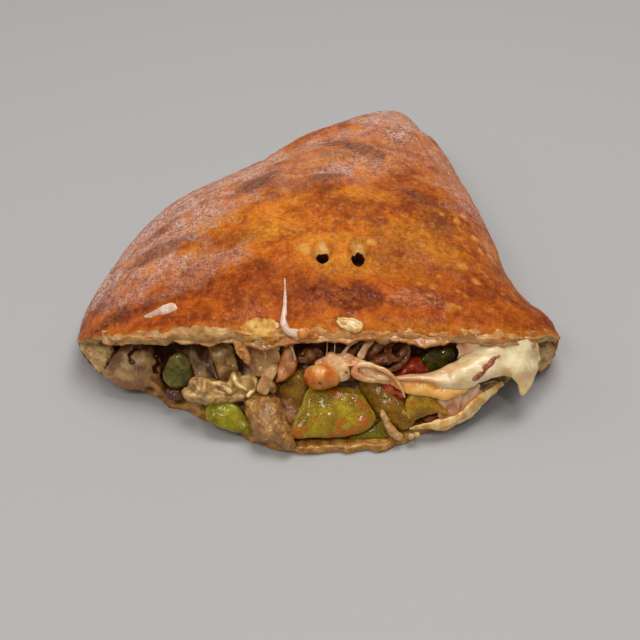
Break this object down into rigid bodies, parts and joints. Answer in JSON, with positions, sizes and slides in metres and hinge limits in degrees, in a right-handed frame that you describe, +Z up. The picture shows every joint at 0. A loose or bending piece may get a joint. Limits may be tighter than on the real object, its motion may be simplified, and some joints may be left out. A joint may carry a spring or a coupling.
{
  "type": "stromboli",
  "caption": "Half of a baked stromboli, cut across, with a browned hollow crust, steam vents, and a filling of cheese, sausage, peppers and onion spilling at the cut.",
  "frame": {"origin": "under the middle of the roll, on the surface it lies on", "axes": "+Z up, the cut faces -Y, the closed end points to +Y and a little to +X"},
  "size_m": [0.24, 0.2618, 0.0631],
  "materials": {
    "crust": "baked, glossy in places, floury in others",
    "filling": "moist",
    "cheese": "melted, glossy",
    "cream_cheese": "melted, glossy",
    "pepper": "wet",
    "pepper_dark": "wet",
    "pepper_light": "wet",
    "onion": "moist, translucent",
    "sausage": "moist",
    "glazed": "sauce-coated",
    "tomato": "wet",
    "mushroom": "moist",
    "ham": "moist"
  },
  "bodies": {
    "root": {"crust": "crust", "filling": "filling", "cheese_lining": "cheese", "cheese_chunk_left": "cream_cheese", "pepper_dark_left": "pepper_dark", "onion_film_left": "onion", "onion_curls": "onion", "pepper_lime": "pepper_light", "sausage": "sausage", "cheese_drip_middle": "glazed", "pepper_olive_middle": "pepper", "sausage_glazed": "glazed", "pepper_big": "pepper", "pepper_strip": "pepper", "pepper_leaf": "pepper_light", "pepper_right": "pepper", "tomato_back": "tomato", "tomato_front": "tomato", "pepper_dark_right": "pepper_dark", "ham_right": "ham", "mushroom_right": "mushroom", "mushroom_stick": "mushroom", "cheese_loop": "cream_cheese", "onion_ribbon": "onion", "cheese_pull_right": "cream_cheese", "cheese_string_top": "cream_cheese", "cheese_smear_left": "cream_cheese", "onion_bit_lip": "onion"}
  },
  "joints": []
}
